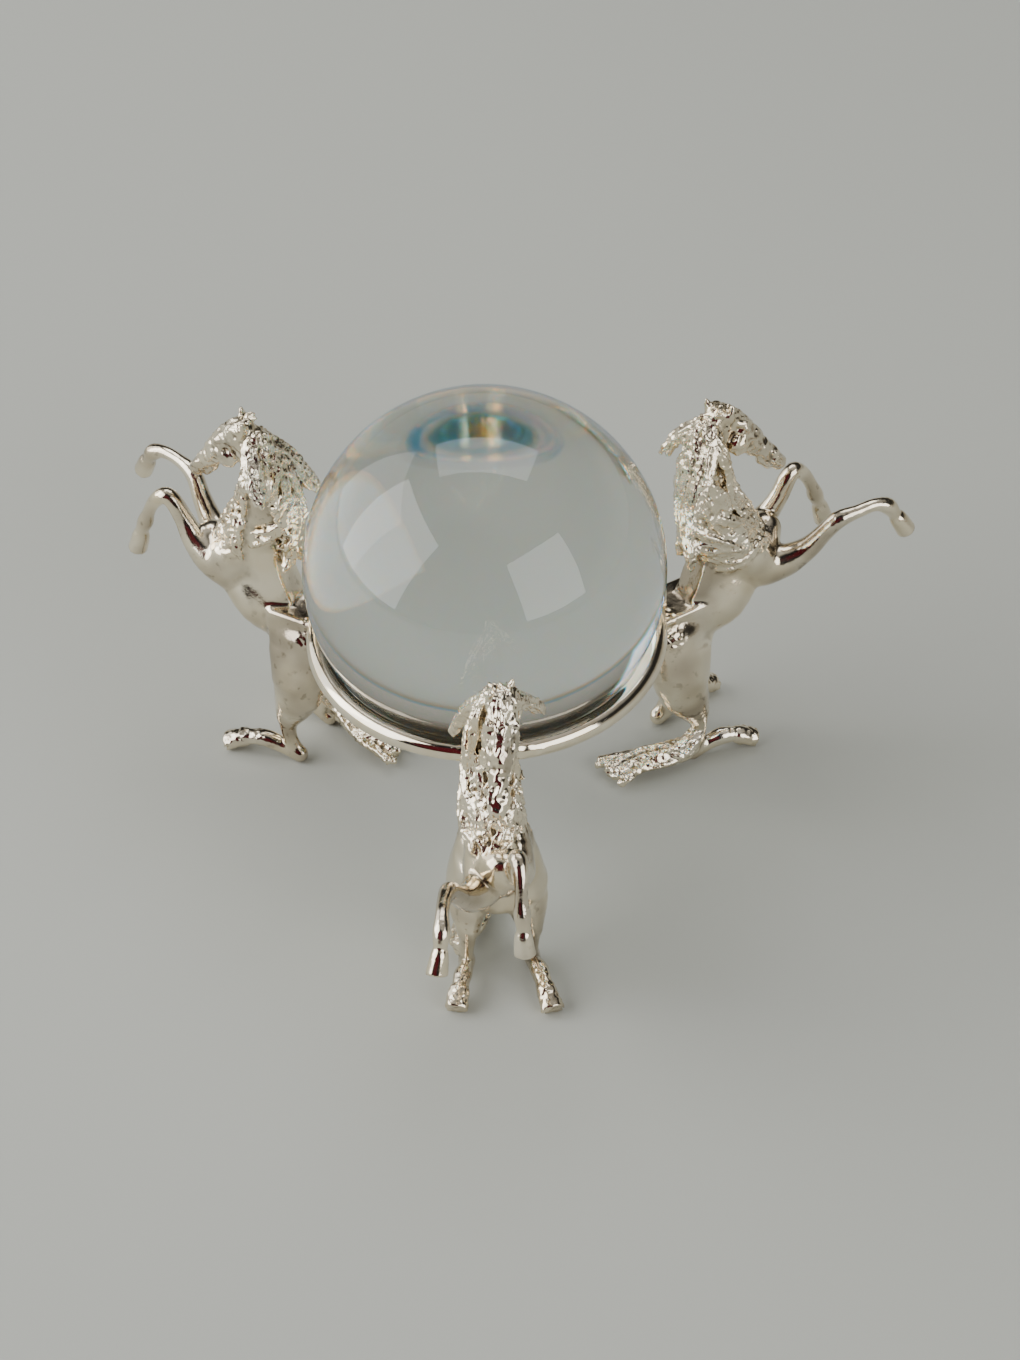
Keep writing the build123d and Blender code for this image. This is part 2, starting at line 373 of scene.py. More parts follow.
def smoothPath(rows, steps=4):
    # the Catmull-Rom curve through the rows, sampled at equal steps between them
    rows = np.array(rows, float)
    ends = np.vstack([2 * rows[0] - rows[1], rows, 2 * rows[-1] - rows[-2]])
    t = np.linspace(0, 1, steps, endpoint=False)[None, :, None]
    a, b, c, d = (ends[i:len(ends) - 3 + i, None, :] for i in range(4))
    curve = 0.5 * (2 * b + (c - a) * t + (2 * a - 5 * b + 4 * c - d) * t ** 2
                   + (3 * b - a - 3 * c + d) * t ** 3)
    curve = np.vstack([curve.reshape(-1, rows.shape[1]), rows[-1:]])
    curve[:, 3:] = np.maximum(curve[:, 3:], thinnest)
    return curve


def pathFrame(run):
    # unit vectors: along the run, across it to the horse's left, and square to both
    along = run / np.linalg.norm(run)
    across = np.array([0.0, 1.0, 0.0]) - along[1] * along
    across /= np.linalg.norm(across)
    return along, across, np.cross(along, across)


def ovalRun(first, last, x, y, z, grooves, grooveDepth, turn):
    # Distance to one short run of ovals: k0 (k0 - 1) / k1, where k0 is the point's radius in units
    # of the oval there and k1 the same divided by the oval's size. Grooves make the oval swell and
    # shrink round its edge, so that they follow the path.
    run = last[:3] - first[:3]
    length = np.linalg.norm(run)
    along, across, outward = pathFrame(run)
    x, y, z = x - first[0], y - first[1], z - first[2]
    t = (x * along[0] + y * along[1] + z * along[2]) / length
    near = np.clip(t, 0, 1)
    wide = first[3] + (last[3] - first[3]) * near
    deep = first[4] + (last[4] - first[4]) * near
    beyond = (t - near) * length
    x, y, z = x - near * run[0], y - near * run[1], z - near * run[2]
    a = (x * across[0] + y * across[1] + z * across[2]) / wide
    b = (x * outward[0] + y * outward[1] + z * outward[2]) / deep
    if grooves:
        swell = 1 + grooveDepth * np.cos(grooves * (np.arctan2(a, b) + turn))
        a, b = a / swell, b / swell
    narrow = np.minimum(wide, deep)
    c = beyond / narrow
    k0 = np.sqrt(a * a + b * b + c * c) + tiny
    k1 = np.sqrt((a / wide) ** 2 + (b / deep) ** 2 + (c / narrow) ** 2) + tiny
    return k0 * (k0 - 1) / k1


def smoothUnion(old, added, blend, fillet=0.25):
    # the lesser of two distances, lowered near the crease by up to fillet times blend
    near = np.maximum(blend - np.abs(old - added), 0) / blend
    return np.minimum(old, added) - near * near * (blend * fillet)


def sharedCells(outer, inner):
    # the cells that two blocks share, counted from the corner of each
    both = [slice(max(a.start, b.start), min(a.stop, b.stop)) for a, b in zip(outer, inner)]
    return [tuple(slice(s.start - c.start, s.stop - c.start) for s, c in zip(both, block))
            for block in (outer, inner)]


class Casting:
    # a solid kept as signed distances on a grid of small cells; shapes are added, blended and cut
    def __init__(self, low, high, cell):
        self.cell = cell
        self.low = np.array(low, float)
        self.count = np.ceil((np.array(high) - self.low) / cell).astype(int)
        self.axes = [(self.low[i] + cell * np.arange(self.count[i])).astype(np.float32) for i in range(3)]
        self.body = np.full(self.count, farOff, np.float32)
        self.hair = np.full(self.count, farOff, np.float32)

    def block(self, low, high):
        # the cells between two corners, and their places along each axis
        first = np.clip(np.floor((np.array(low) - self.low) / self.cell).astype(int), 0, self.count)
        last = np.clip(np.ceil((np.array(high) - self.low) / self.cell).astype(int) + 1, 0, self.count)
        cells = tuple(slice(a, b) for a, b in zip(first, last))
        x, y, z = (self.axes[i][cells[i]] for i in range(3))
        return cells, x[:, None, None], y[None, :, None], z[None, None, :]

    def limb(self, rows, blend, hair=False, grooves=0, grooveDepth=0.0, steps=4, flatEnd=False, turn=0.0):
        # ovals carried along a smooth path; a flat end is cut square to the path's last run
        path = smoothPath(rows, steps)
        margin = blend + spare
        reach = path[:, 3:5].max(1)
        cells, wholeX, wholeY, wholeZ = self.block((path[:, :3] - reach[:, None]).min(0) - margin,
                                                   (path[:, :3] + reach[:, None]).max(0) + margin)
        whole = np.full([s.stop - s.start for s in cells], farOff, np.float32)
        for first, last in zip(path[:-1], path[1:]):
            size = max(first[3:].max(), last[3:].max()) + margin
            inner, x, y, z = self.block(np.minimum(first[:3], last[:3]) - size,
                                        np.maximum(first[:3], last[:3]) + size)
            distance = ovalRun(first, last, x, y, z, grooves, grooveDepth, turn)
            spot, trim = sharedCells(cells, inner)
            whole[spot] = np.minimum(whole[spot], distance[trim])
        if flatEnd:
            end, before = path[-1][:3], path[-2][:3]
            facing = (end - before) / np.linalg.norm(end - before)
            whole = np.maximum(whole, (wholeX - end[0]) * facing[0] + (wholeY - end[1]) * facing[1]
                               + (wholeZ - end[2]) * facing[2])
        target = self.hair if hair else self.body
        target[cells] = smoothUnion(target[cells], whole, blend)

    def dent(self, centre, radius, blend):
        # a ball taken away, with a softened rim
        room = radius + 2
        cells, x, y, z = self.block(np.array(centre) - room, np.array(centre) + room)
        hole = radius - np.sqrt((x - centre[0]) ** 2 + (y - centre[1]) ** 2 + (z - centre[2]) ** 2)
        self.body[cells] = -smoothUnion(-self.body[cells], -hole, blend)

    def sample(self, values, points):
        # values at points, in proportion between the eight cells round each
        place = (points - self.low) / self.cell
        base = np.clip(np.floor(place).astype(int), 0, np.array(self.count) - 2)
        share = np.clip(place - base, 0, 1)
        total = np.zeros(len(points))
        for corner in range(8):
            step = np.array([corner & 1, corner >> 1 & 1, corner >> 2 & 1])
            weight = np.where(step, share, 1 - share).prod(1)
            spot = base + step
            total += weight * values[spot[:, 0], spot[:, 1], spot[:, 2]]
        return total


def ripples(casting, pitch, seed):
    # a soft uneven pattern between about -1 and 1: products of waves along pairs of axes, added up
    chance = np.random.default_rng(seed)
    x, y, z = casting.axes
    total = np.zeros(casting.count, np.float32)
    for _ in range(3):
        k = (2 * math.pi / pitch) * chance.uniform(0.7, 1.3, 3)
        p = chance.uniform(0, fullTurn, 6)
        wave = (np.sin(k[0] * x + p[0])[:, None, None] * np.sin(k[1] * y + p[1])[None, :, None]
                + np.sin(k[1] * y + p[2])[None, :, None] * np.sin(k[2] * z + p[3])[None, None, :]
                + np.sin(k[2] * z + p[4])[None, None, :] * np.sin(k[0] * x + p[5])[:, None, None])
        total += wave.astype(np.float32)
    return total / 4.5


def rise(place, start, width):
    # 0 at start and 1 a width further on; a negative width rises the other way
    return np.clip((place - start) / width, 0, 1)


def headPoint(along, side, front):
    # a point of the head: along from the poll to the muzzle, to its left, and out from its face
    poll, muzzle = np.array([60, -0.2, 90.2]), np.array([75.2, -2.9, 72.2])
    axis, left, forward = pathFrame(muzzle - poll)
    return poll + along * axis + side * left + front * forward


def neckPoint(height, angle, lift):
    # a point over the neck: height is 0 at the chest and 1 at the poll, angle 0 at the crest, and
    # lift is above the skin
    rows = smoothPath(horseRows["neck"], 8)
    t = np.clip(height, 0, 1) * (len(rows) - 1)
    base = int(min(t, len(rows) - 2))
    row = rows[base] + (rows[base + 1] - rows[base]) * (t - base)
    _, across, crest = pathFrame(rows[base + 1, :3] - rows[base, :3])
    return row[:3] + (row[3] + lift) * math.sin(angle) * across + (row[4] + lift) * math.cos(angle) * crest


# The head's features in the order they are made, in millimetres: along the head, out from its
# middle, out from its face, and for rows the half width and half depth. Dents are balls taken away.
sideFeatures = {
    "cheek": {"rows": [(8, 2.1, -1.6, 1.9, 2.7), (9.6, 2.1, -1.9, 1.9, 2.7)], "blend": 0.2},
    "brow": {"rows": [(3.9, 2, 2.2, 0.9, 0.9), (6.2, 2.8, 2.4, 1, 1), (8.6, 2.3, 1.7, 0.6, 0.6)],
             "blend": 0.3},
    "eyeSocket": {"dents": [(6.8, 3.4, 1)], "radius": 1.0, "blend": 0.3},
    "eye": {"rows": [(6.6, 2.5, 1.1, 0.95, 0.95), (6.9, 2.5, 1.05, 0.95, 0.95)], "blend": 0.15},
    "cheekbone": {"rows": [(9.6, 2.5, 0.6, 0.75, 0.75), (12.5, 2.2, 0.6, 0.7, 0.7), (16, 1.8, 0.4, 0.5, 0.5)],
                  "blend": 0.3},
    "nose": {"rows": [(20, 1.4, 0.9, 0.95, 0.95), (22.2, 1.4, 0.5, 1.15, 1.15)], "blend": 0.3},
    "nostril": {"dents": [(22.3, 2.5, 0.8)], "radius": 0.75, "blend": 0.25},
    "mouth": {"dents": [(along, 2.3, -1) for along in np.linspace(18.2, 23.8, 11)],
              "radius": 0.55, "blend": 0.25},
}
middleFeatures = {
    "noseRidge": {"rows": [(3.4, 0, 2.4, 1.2, 1.2), (12, 0, 2.3, 1, 1), (20, 0, 1.3, 0.9, 0.9)],
                  "blend": 0.8},
    "chin": {"rows": [(19, 0, -1.9, 1.5, 1.1), (21.6, 0, -1.9, 1.5, 1.1)], "blend": 0.4},
}


def addFeature(casting, feature, side):
    # side is 1 for the head's left and -1 for its right
    for along, out, front in feature.get("dents", []):
        casting.dent(headPoint(along, out * side, front), feature["radius"], feature["blend"])
    if "rows" in feature:
        casting.limb([(*headPoint(along, out * side, front), wide, deep)
                      for along, out, front, wide, deep in feature["rows"]], feature["blend"])


def addHead(casting):
    for side in (-1, 1):
        for feature in sideFeatures.values():
            addFeature(casting, feature, side)
    for feature in middleFeatures.values():
        addFeature(casting, feature, 1)
    casting.limb(horseRows["rightEar"], 0.5)
    casting.limb(horseRows["leftEar"], 0.5)


# strands of hair: how many of each, and the section that every loose strand has
hairStrands = {
    "longLocks": 34,
    "shortLocks": 15,
    "crestTufts": 26,
    "sideLocks": {"rightLock": 8, "leftLock": 8},
    "chestCurls": 190,
    "forelocks": 9,
    "pollTufts": 12,
    "tailStrands": 13,
    "grooves": 4,
    "grooveDepth": 0.2,
    "taper": 0.62,
    "closeBlend": 0.18,
}


def wavyStrand(casting, points, thickness, waves, sway, phase, blend=0.35):
    # a lock that thins to its tip and sways across its own line
    points = np.array(points, float)
    t = np.linspace(0, 1, len(points))
    run = np.gradient(points, axis=0)
    sideways = np.cross(run, points - points.mean(0) + 0.01)
    sideways /= np.linalg.norm(sideways, axis=1)[:, None] + tiny
    points = points + sideways * (sway * np.sin(2 * math.pi * waves * t + phase) * (0.3 + 0.7 * t))[:, None]
    girth = thickness * (1 - hairStrands["taper"] * t ** 1.5) * np.where(t == 0, 0.8, 1)
    casting.limb(np.column_stack([points, girth * 0.9, girth * 1.1]), blend, hair=True,
                 grooves=hairStrands["grooves"], grooveDepth=hairStrands["grooveDepth"], steps=2, turn=phase)


def addManeLocks(casting, chance):
    # locks from the crest: long ones down the right of the neck to the shoulder, short ones on the left
    for k in range(hairStrands["longLocks"]):
        start = 1.02 - 0.026 * k + chance.uniform(-0.03, 0.03)
        end = max(0.08 + 0.1 * chance.uniform(0, 1), start - chance.uniform(0.42, 0.62))
        reach = math.radians(chance.uniform(-135, -52))
        t = np.linspace(0, 1, 10)
        angles = (math.radians(chance.uniform(-5, 25)) * (1 - t)
                  + reach * np.sin(math.pi / 2 * np.minimum(1, 1.5 * t)))
        heights = start + (end - start) * t ** 1.15
        points = [neckPoint(h, a, chance.uniform(0, 0.3) + (k % 3) * 0.35 + 0.7 * math.sin(3.1 * s))
                  for h, a, s in zip(heights, angles, t)]
        wavyStrand(casting, points, chance.uniform(1.0, 1.5), chance.uniform(1.1, 1.8), 0.95,
                   chance.uniform(0, fullTurn), hairStrands["closeBlend"])
    for k in range(hairStrands["shortLocks"]):
        start = 1.0 - 0.036 * k
        t = np.linspace(0, 1, 7)
        angles = math.radians(chance.uniform(-10, 15)) * (1 - t) + math.radians(chance.uniform(42, 86)) * t
        heights = start - chance.uniform(0.12, 0.26) * t
        points = [neckPoint(h, a, 0.5 + 0.5 * math.sin(3.1 * s)) for h, a, s in zip(heights, angles, t)]
        wavyStrand(casting, points, chance.uniform(0.9, 1.35), 1.2, 0.7, chance.uniform(0, fullTurn),
                   hairStrands["closeBlend"])


def addCrestTufts(casting, chance):
    # tufts that stand off the back of the mane, tips pointing down and in towards the ball
    crest = smoothPath([row[:3] + (1, 1) for row in horseRows["mane"]], 6)[:, :3]
    for k in range(hairStrands["crestTufts"]):
        root = crest[int(1 + k * (len(crest) - 4) / hairStrands["crestTufts"])]
        side = chance.uniform(-1, 1)
        lean = np.array([chance.uniform(-0.55, -0.1), 0.6 * side, -1.0])
        t = np.linspace(0, 1, 5)[:, None]
        points = root + np.array([-0.6, 1.3 * side, 0]) + lean * t * chance.uniform(4.2, 6.4)
        points[:, 0] += 1.6 * (t[:, 0] ** 2)
        wavyStrand(casting, points, chance.uniform(1.2, 1.6), 0.9, 0.6, chance.uniform(0, fullTurn))


def addSideLocks(casting, chance):
    # strands fanned over the two locks that fly out behind the head
    outward = np.array([0.66, 0, 0.75])
    for name, count in hairStrands["sideLocks"].items():
        lock = smoothPath(horseRows[name], 2)
        for k in range(count):
            share = -1 + 2 * k / (count - 1)
            length = len(lock) - int(chance.integers(0, 2))
            points = lock[:length, :3] + outward * (share * 0.85 * lock[:length, 4:5])
            points[:, 1] += 0.7 * math.cos(2.6 * k)
            points[-1] += np.array([-0.5, 0, -1.6])
            wavyStrand(casting, points, chance.uniform(1.3, 1.8), 1.3, 0.9, chance.uniform(0, fullTurn),
                       hairStrands["closeBlend"])


def addChestCurls(casting, chance):
    # short curls over the throat and chest
    for _ in range(hairStrands["chestCurls"]):
        height = chance.uniform(0.12, 0.7)
        angle = math.pi + chance.uniform(-1.5, 1.2) * (1.2 - height)
        turn = chance.uniform(0.3, 0.9) * chance.choice([-1, 1])
        t = np.linspace(0, 1, 4)
        points = [neckPoint(height - 0.085 * s, angle + 0.35 * turn * math.sin(2.6 * s),
                            0.15 + 0.5 * math.sin(3.1 * s)) for s in t]
        wavyStrand(casting, points, chance.uniform(0.65, 0.95), 0.6, 0.3, chance.uniform(0, fullTurn))


def addForelock(casting, chance):
    # locks down the face, then small tufts that stand up between the ears
    for k in range(hairStrands["forelocks"]):
        side = -2.8 + 0.7 * k
        tip = chance.uniform(7, 13)
        rows = [headPoint(-1.2, side * 0.5, 0.6), headPoint(0.8, side * 0.8, 2.6 - 0.12 * side * side),
                headPoint(0.5 * tip, side * 0.9, 3.4 - 0.22 * side * side),
                headPoint(tip, side * 0.75, 2.9 - 0.15 * side * side)]
        wavyStrand(casting, smoothPath(rows, 3), chance.uniform(0.85, 1.15), 1.4, 0.6,
                   chance.uniform(0, fullTurn), 0.2)
    for _ in range(hairStrands["pollTufts"]):
        side = chance.uniform(-2.2, 2.2)
        top = headPoint(chance.uniform(-1.6, 0.6), side, chance.uniform(0, 1.6))
        rows = [top, top + np.array([0.2, 0.4 * side, 1.0]), top + np.array([-0.9, 0.7 * side, 1.3])]
        wavyStrand(casting, smoothPath(rows, 2), 0.8, 0.5, 0.2, chance.uniform(0, fullTurn))


def addTail(casting, chance):
    # long wavy strands laid side by side on the floor, each with its own blunt tip
    tail = smoothPath(horseRows["tail"], 4)
    count = hairStrands["tailStrands"]
    t = np.linspace(0, 1, len(tail))
    for k in range(count):
        across = -1 + 2 * k / (count - 1)
        layer = 0.35 + 0.65 * math.sin(math.pi * (k + 0.5) / count)
        length = chance.uniform(0.9, 1.0)
        spread = 0.55 + 0.75 * t ** 1.5
        points = tail[:, :3].copy()
        points[:, 1] += across * tail[:, 3] * spread
        points[:, 0] -= 0.25 * across * tail[:, 3] * spread
        points[:, 2] = np.maximum(points[:, 2] + (layer - 0.35) * tail[:, 4] * (1.1 - 0.75 * t)
                                  + 0.35 * np.sin(9 * t + k), 0.95)
        points[:, 1] += 0.45 * np.sin(8.5 * t + 1.9 * k)
        points = points[:max(6, int(round(len(points) * length)))]
        points[-1] += np.array([-1.6, 0.9 * across, -0.1])
        girth = np.full(len(points), chance.uniform(0.85, 1.1))
        girth[0] *= 0.8
        casting.limb(np.column_stack([points, girth * 0.9, girth]), 0.3, hair=True,
                     grooves=hairStrands["grooves"], grooveDepth=0.12, steps=2, turn=k)


def addStep(casting):
    # the squared step of the rump: a box with rounded edges
    low, high = np.array(horse["stepLow"]), np.array(horse["stepHigh"])
    middle, half = (low + high) / 2, (high - low) / 2 - horse["stepCorner"]
    over = [np.maximum(np.abs(axis - m) - h, 0) for axis, m, h in zip(casting.axes, middle, half)]
    outside = np.sqrt(over[0][:, None, None] ** 2 + over[1][None, :, None] ** 2 + over[2][None, None, :] ** 2)
    step = (outside - horse["stepCorner"]).astype(np.float32)
    casting.body = smoothUnion(casting.body, step, horse["stepBlend"])


def cutBack(casting):
    # a slanting plane takes the back away above the step, on the ball's side
    x, _, z = casting.axes
    (footX, footZ), (headX, headZ) = horse["backCut"]
    slope = math.hypot(headX - footX, headZ - footZ)
    plane = (((x - footX) * (headZ - footZ))[:, None, None]
             - ((z - footZ) * (headX - footX))[None, None, :]) / slope
    cut = np.maximum(plane, (footZ - z)[None, None, :])
    casting.body = np.maximum(casting.body, -cut).astype(np.float32)


def addBody(casting):
    rows = horseRows
    casting.limb(rows["trunk"], 2.2)
    casting.limb(rows["rightThigh"][:4], 2.0)
    casting.limb(rows["leftThigh"][:4], 2.0)
    casting.limb(rows["loin"], 2.2)
    addStep(casting)
    cutBack(casting)
    casting.limb(rows["neck"], 1.8)
    for side in ("right", "left"):
        casting.limb(rows[side + "Shoulder"], 0.9)
        casting.limb(rows[side + "Haunch"], 1.0)
    casting.limb(rows["head"], 1.0)
    for side in ("right", "left"):
        casting.limb(rows[side + "Foreleg"], 0.9, flatEnd=True)
    for side in ("right", "left"):
        casting.limb(rows[side + "Thigh"][2:], 1.2)
        casting.limb(rows[side + "Foot"], 0.9, flatEnd=True)
    addHead(casting)


def addHair(casting):
    chance = np.random.default_rng(horse["seed"])
    casting.limb(horseRows["mane"], 0.6, hair=True, grooves=9, grooveDepth=0.07)
    for name in ("rightLock", "leftLock", "tail"):
        core = [(*row[:3], row[3] * 0.8, row[4] * 0.75) for row in horseRows[name]]
        casting.limb(core, 0.4, hair=True, grooves=7, grooveDepth=0.14)
    addManeLocks(casting, chance)
    addCrestTufts(casting, chance)
    addSideLocks(casting, chance)
    addChestCurls(casting, chance)
    addForelock(casting, chance)
    addTail(casting, chance)


def addCastMarks(casting):
    # ripples: in the hair, faint over the body, deeper on the face, and where solder spread over
    # the step; the hind hooves are rough on top
    pitch, seed, depth = castMarks["hair"]
    casting.hair += ripples(casting, pitch, seed) * depth
    pitch, seed, depth = castMarks["body"]
    casting.body += ripples(casting, pitch, seed) * depth
    x, _, z = casting.axes
    zones = markZones
    face = rise(z, *zones["faceUp"])[None, None, :] * rise(x, *zones["faceOut"])[:, None, None]
    pitch, seed, depth = castMarks["face"]
    casting.body += ripples(casting, pitch, seed) * (depth * face * (x[:, None, None] < zones["faceEnd"]))
    solderUp = rise(z, *zones["solderUp"]) * rise(z, *zones["solderDown"])
    solder = rise(x, *zones["solderIn"])[:, None, None] * solderUp[None, None, :]
    hoof = rise(x, *zones["hoofOut"])[:, None, None] * rise(z, *zones["hoofDown"])[None, None, :]
    pitch, seed, depth = castMarks["solder"]
    casting.body += ripples(casting, pitch, seed) * (depth * solder + zones["hoofDepth"] * hoof)


def castHorse():
    # the whole casting and the signed distance to its skin, which stops just above the floor
    casting = Casting(horse["low"], horse["high"], horse["cell"])
    addBody(casting)
    print("horse body")
    addHair(casting)
    print("mane and tail")
    addCastMarks(casting)
    skin = smoothUnion(casting.body, casting.hair, horse["hairBlend"], horse["hairFillet"])
    return casting, np.maximum(skin, horse["floorGap"] - casting.axes[2][None, None, :])


def soften(values, reach):
    # mean over a cube of cells, by running sums along each axis
    size = 2 * reach + 1
    for axis in range(3):
        padded = np.concatenate([np.repeat(np.take(values, [0], axis), reach + 1, axis), values,
                                 np.repeat(np.take(values, [-1], axis), reach, axis)], axis)
        total = np.cumsum(padded, axis, dtype=np.float64)
        ahead = np.take(total, range(size, total.shape[axis]), axis)
        behind = np.take(total, range(0, total.shape[axis] - size), axis)
        values = ((ahead - behind) / size).astype(np.float32)
    return values


# how the horse's surface is drawn from the distances, in millimetres but for the simplifying
surface = {
    "band": 2.0,
    "simplify": 0.02,
    "hollowReach": 3,
    "hollowDepth": 0.30,
    "hairEdge": 0.8,
}


def castingSurface(casting, skin):
    # the surface where the signed distance is nought; a point is hollow where the distances
    # around it are mostly inside, and hair where the hair is nearer than the body
    band = np.clip(skin, -surface["band"], surface["band"])
    grid = openvdb.FloatGrid(surface["band"])
    grid.copyFromArray(np.ascontiguousarray(band, dtype=np.float32), tolerance=0.0)
    points, triangles, quads = grid.convertToPolygons(isovalue=0.0, adaptivity=surface["simplify"])
    points = np.asarray(points, float) * casting.cell + casting.low
    around = casting.sample(soften(band, surface["hollowReach"]), points)
    hollow = np.clip(-around / surface["hollowDepth"], 0, 1)
    lead = casting.sample(casting.body, points) - casting.sample(casting.hair, points)
    hair = np.clip(0.5 + lead / surface["hairEdge"], 0, 1)
    return points, triangles, quads, hollow, hair


def makeHorses():
    # one casting, turned about the ball's axis to its three places
    casting, skin = castHorse()
    points, triangles, quads, hollow, hair = castingSurface(casting, skin)
    corners = points[np.vstack([triangles, quads[:, :3], quads[:, [0, 2, 3]]])]
    volume = np.einsum("ij,ij->i", corners[:, 0], np.cross(corners[:, 1], corners[:, 2])).sum() / 6
    if volume < 0:
        triangles, quads = triangles[:, ::-1], quads[:, ::-1]
    print("horse cubic millimetres", round(abs(volume)), "triangles", len(triangles) + 2 * len(quads))
    faces = triangles.tolist() + quads.tolist()
    x, y, z = points.T
    for name, azimuth in horse["azimuths"].items():
        turn = math.radians(azimuth)
        turned = np.column_stack([x * math.cos(turn) - y * math.sin(turn),
                                  x * math.sin(turn) + y * math.cos(turn), z])
        piece = meshPiece(name.replace("horse_", "rearingHorse_"), (turned * mm).tolist(), faces,
                          castingFinish, "stand", name)
        for label, values in (("hollow", hollow), ("hair", hair)):
            attribute = piece.data.attributes.new(label, "FLOAT", "POINT")
            attribute.data.foreach_set("value", values.astype(np.float32))


makeHorses()
print("horses")

# the ring, in metres; beads are where solder has run along the rod from each horse
ring = {
    "rod": 0.0025,
    "height": 0.054,
    "around": 640,
    "section": 40,
    "wander": 0.00006,
    "unevenness": 0.006,
    "thinning": 0.00001,
    "seatGap": 0.00003,
    "beads": 26,
    "beadDegrees": (4, 15),
    "beadFacing": (-0.4, 3.4),
    "beadSize": (0.0004, 0.0009),
    "beadHeight": (0.00008, 0.00022),
    "seed": 11,
}


def solderBeads(around, section, middle):
    # soft bumps on the rod: height times exp(-(distance / size) squared), added up
    swell = np.zeros((ring["around"], ring["section"]))
    chance = np.random.default_rng(ring["seed"])
    for azimuth in horse["azimuths"].values():
        for _ in range(ring["beads"]):
            side = chance.choice([-1, 1])
            centre = math.radians(azimuth) + side * math.radians(chance.uniform(*ring["beadDegrees"]))
            facing = chance.uniform(*ring["beadFacing"])
            size = chance.uniform(*ring["beadSize"])
            apart = np.hypot(np.angle(np.exp(1j * (around - centre))) * middle,
                             np.angle(np.exp(1j * (section - facing))) * ring["rod"])
            swell += chance.uniform(*ring["beadHeight"]) * np.exp(-(apart / size) ** 2)
    return swell


def makeRing():
    # a round rod bent into a circle, whose centre line and thickness wander a little in sine waves
    low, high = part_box("ring")
    middle = (high.x - low.x) / 2 - ring["rod"]
    around = np.linspace(0, 2 * math.pi, ring["around"], endpoint=False)[:, None]
    section = np.linspace(0, 2 * math.pi, ring["section"], endpoint=False)[None, :]
    rod = (ring["rod"] * (1 + ring["unevenness"] * np.sin(5 * around + 1)) - ring["thinning"]
           + solderBeads(around, section, middle))
    reach = middle + ring["wander"] * np.sin(3 * around) + rod * np.cos(section)
    height = ring["height"] + ring["wander"] * np.sin(4 * around + 2) + rod * np.sin(section)
    # whatever would dip into the ball is moved straight away from its centre until it only just clears it
    ballLow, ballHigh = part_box("crystal_ball")
    ballHeight = (ballHigh.z + ballLow.z) / 2
    clear = (ballHigh.z - ballLow.z) / 2 + ring["seatGap"]
    push = np.maximum(clear / np.hypot(reach, height - ballHeight), 1)
    reach, height = reach * push, ballHeight + (height - ballHeight) * push
    points = np.stack([reach * np.cos(around), reach * np.sin(around), height], -1).reshape(-1, 3)
    faces = gridFaces(ring["around"] + 1, ring["section"]) % len(points)
    meshPiece("ringRod", points.tolist(), faces.tolist(), rodFinish, "stand", "ring")


def finishPosts():
    # the posts keep their own shape and only take the rod's finish
    for name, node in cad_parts.items():
        if name.startswith("ring_post"):
            node.data.materials.clear()
            node.data.materials.append(rodFinish)


makeRing()
finishPosts()
print("ring")

# the ball's steps of latitude and longitude
ball = {
    "rows": 180,
    "columns": 360,
}


def makeBall():
    # a sphere by latitude and longitude, closed by a fan of triangles at each pole
    rows, columns = ball["rows"], ball["columns"]
    low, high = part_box("crystal_ball")
    radius = (high.z - low.z) / 2
    centre = (low + high) / 2
    latitude = np.linspace(-math.pi / 2, math.pi / 2, rows + 1)[1:-1, None]
    longitude = np.linspace(0, 2 * math.pi, columns, endpoint=False)[None, :]
    side = radius * np.cos(latitude)
    points = np.stack([side * np.cos(longitude), side * np.sin(longitude),
                       radius * np.sin(latitude) + 0 * longitude], -1).reshape(-1, 3)
    points = np.vstack([points, [[0, 0, -radius], [0, 0, radius]]]) + np.array(centre)
    bottom, top = len(points) - 2, len(points) - 1
    column = np.arange(columns)
    after = (column + 1) % columns
    last = (rows - 2) * columns
    lowFan = np.column_stack([np.full(columns, bottom), after, column])
    highFan = np.column_stack([np.full(columns, top), last + column, last + after])
    fans = np.stack([lowFan, highFan], 1).reshape(-1, 3)
    faces = gridFaces(rows - 1, columns).tolist() + fans.tolist()
    meshPiece("crystalBall", points.tolist(), faces, ballFinish, "ball", "crystal_ball")


makeBall()
print("ball")

# the studio, in metres: a pale floor, a dim room, the camera and four soft lights
studio = {
    "floorSize": 6.0,
    "floorColour": (0.448, 0.461, 0.423),
    "floorMottle": 0.02,
    "walls": [(0.0, (0.42, 0.40, 0.35)), (0.16, (0.26, 0.25, 0.22)), (0.26, (0.03, 0.028, 0.025)),
              (0.6, (0.02, 0.02, 0.02)), (0.8, (0.34, 0.33, 0.31)), (1.0, (0.5, 0.49, 0.47))],
    "curtainFacing": (-0.35, -0.85, 0.39),
    "curtainColour": (0.085, 0.010, 0.016, 1),
    "curtainSpread": (18, 16.2),
    "cameraSideColour": (0.012, 0.011, 0.014, 1),
    "cameraSideSpread": (6, 3.72),
    "lens": 125.7,
    "cameraPlace": (0.0, -0.78841, 0.75058),
    "cameraRight": (0.99940917, -0.02617519, -0.02227507),
    "cameraUp": (0.03406856, 0.66873932, 0.742716),
    "lightAim": (0, 0, 0.07),
    "lights": {
        "windowLeft": {"place": (-1.12, -0.2, 0.66), "size": (1.3, 1.25), "watts": 20},
        "windowBack": {"place": (-1.15, 0.45, 0.58), "size": (1.15, 1.1), "watts": 7},
        "windowRight": {"place": (0.84, -0.9, 0.60), "size": (1.0, 0.95), "watts": 10},
        "overhead": {"place": (0.06, 0.6, 1.4), "size": (1.3, 0.7), "watts": 8},
    },
}


